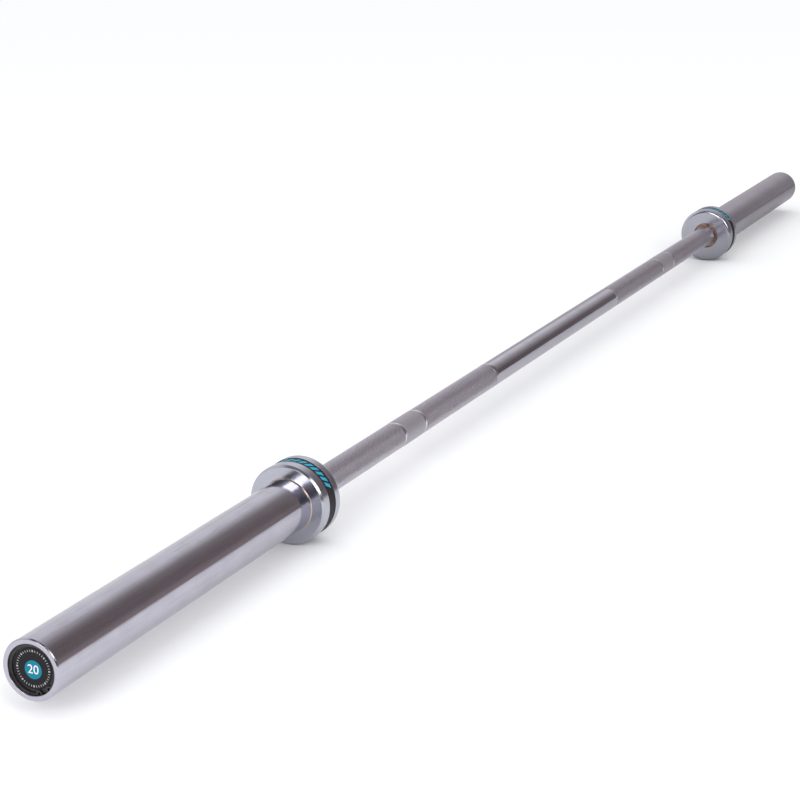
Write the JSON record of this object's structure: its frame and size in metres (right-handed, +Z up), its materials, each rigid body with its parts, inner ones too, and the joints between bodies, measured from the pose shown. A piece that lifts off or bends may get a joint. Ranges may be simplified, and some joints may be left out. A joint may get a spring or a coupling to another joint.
{
  "type": "olympic barbell",
  "caption": "Long steel weightlifting bar with a knurled grip, smooth middle and free-turning polished sleeves behind wide collars at both ends.",
  "frame": {"origin": "middle of the bar, on its axis", "axes": "+X along the bar from the left sleeve to the right sleeve, +Z up"},
  "size_m": [2.2, 0.076, 0.076],
  "materials": {
    "knurled_chrome": "satin hard chrome on a knurled grip, polished in the middle",
    "polished_chrome": "polished chrome",
    "turned_chrome": "turned and chromed, with fine lathe lines on the faces",
    "bronze": "turned bearing bronze",
    "plain_steel": "plain ground steel",
    "dark_spring_steel": "blackened spring steel",
    "black_plastic": "satin moulded plastic",
    "badge_print": "printed film disc",
    "black_inlay": "satin elastic inlay"
  },
  "bodies": {
    "bar": {"shaft": "knurled_chrome", "left_snap_ring": "dark_spring_steel", "left_thrust_washer": "plain_steel", "right_snap_ring": "dark_spring_steel", "right_thrust_washer": "plain_steel"},
    "left_sleeve_group": {"left_sleeve": "polished_chrome", "left_collar": "turned_chrome", "left_collar_band": "black_inlay", "left_inner_bush": "bronze", "left_outer_bush": "bronze", "left_end_cap": "black_plastic", "left_end_badge": "badge_print", "left_cap_ring": "dark_spring_steel"},
    "right_sleeve_group": {"right_sleeve": "polished_chrome", "right_collar": "turned_chrome", "right_collar_band": "black_inlay", "right_inner_bush": "bronze", "right_outer_bush": "bronze", "right_end_cap": "black_plastic", "right_end_badge": "badge_print", "right_cap_ring": "dark_spring_steel"}
  },
  "joints": [
    {"name": "left_sleeve_spin", "type": "hinge", "parent": "bar", "child": "left_sleeve_group", "pos_m": [-0.88, 0, 0], "axis": [1, 0, 0], "continuous": true},
    {"name": "right_sleeve_spin", "type": "hinge", "parent": "bar", "child": "right_sleeve_group", "pos_m": [0.88, 0, 0], "axis": [1, 0, 0], "continuous": true}
  ]
}
